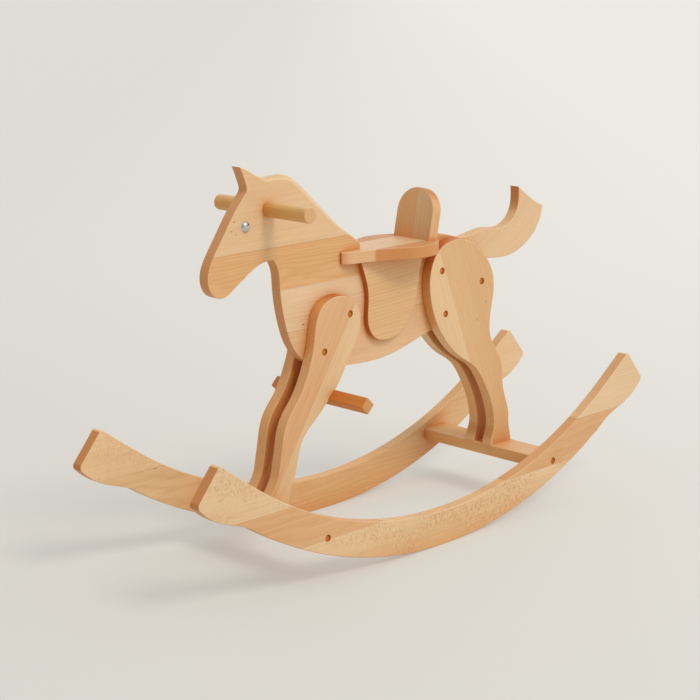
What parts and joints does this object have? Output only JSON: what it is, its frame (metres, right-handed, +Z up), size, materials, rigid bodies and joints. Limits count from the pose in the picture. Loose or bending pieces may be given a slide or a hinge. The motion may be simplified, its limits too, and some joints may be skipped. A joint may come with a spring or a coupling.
{
  "type": "rocking horse",
  "caption": "Child's rocking horse of shaped flat beech boards on two curved runners, with a notched seat, round-topped backrest, saddle flaps, footrest bar and a dowel handle through the head.",
  "frame": {"origin": "on the floor in the mid-plane, under the lowest point of the two rocker arcs, halfway between the rocker tips", "axes": "+X forwards, towards the head; +Y to the horse's left; +Z up"},
  "size_m": [1.0662, 0.3, 0.6454],
  "materials": {
    "rocker_beech": "oiled",
    "body_beech": "oiled",
    "seat_beech": "oiled",
    "leg_beech": "oiled",
    "dowel_beech": "oiled",
    "plug_wood": "oiled",
    "zinc_steel": "zinc plated",
    "eye_chrome": "polished"
  },
  "bodies": {
    "root": {"rocker_left": "rocker_beech", "rocker_right": "rocker_beech", "front_crossbar": "rocker_beech", "rear_crossbar": "rocker_beech", "rocker_screws": "zinc_steel", "rocker_dowels": "dowel_beech", "rocker_plugs": "plug_wood", "body_panel": "body_beech", "tail_panel": "body_beech", "tail_dowels": "dowel_beech", "seat_board": "seat_beech", "seat_dowels": "dowel_beech", "backrest": "seat_beech", "backrest_screws": "zinc_steel", "saddle_flap_left": "seat_beech", "saddle_flap_right": "seat_beech", "flap_dowels": "dowel_beech", "front_leg_left": "leg_beech", "front_leg_right": "leg_beech", "rear_leg_left": "leg_beech", "rear_leg_right": "leg_beech", "leg_bolts": "zinc_steel", "leg_sleeve_nuts": "zinc_steel", "leg_plugs_left": "plug_wood", "leg_plugs_right": "plug_wood", "foot_screws": "zinc_steel", "footrest_bar": "leg_beech", "footrest_screws": "zinc_steel", "handle_dowel": "dowel_beech", "eye_left": "eye_chrome", "eye_right": "eye_chrome"}
  },
  "joints": []
}
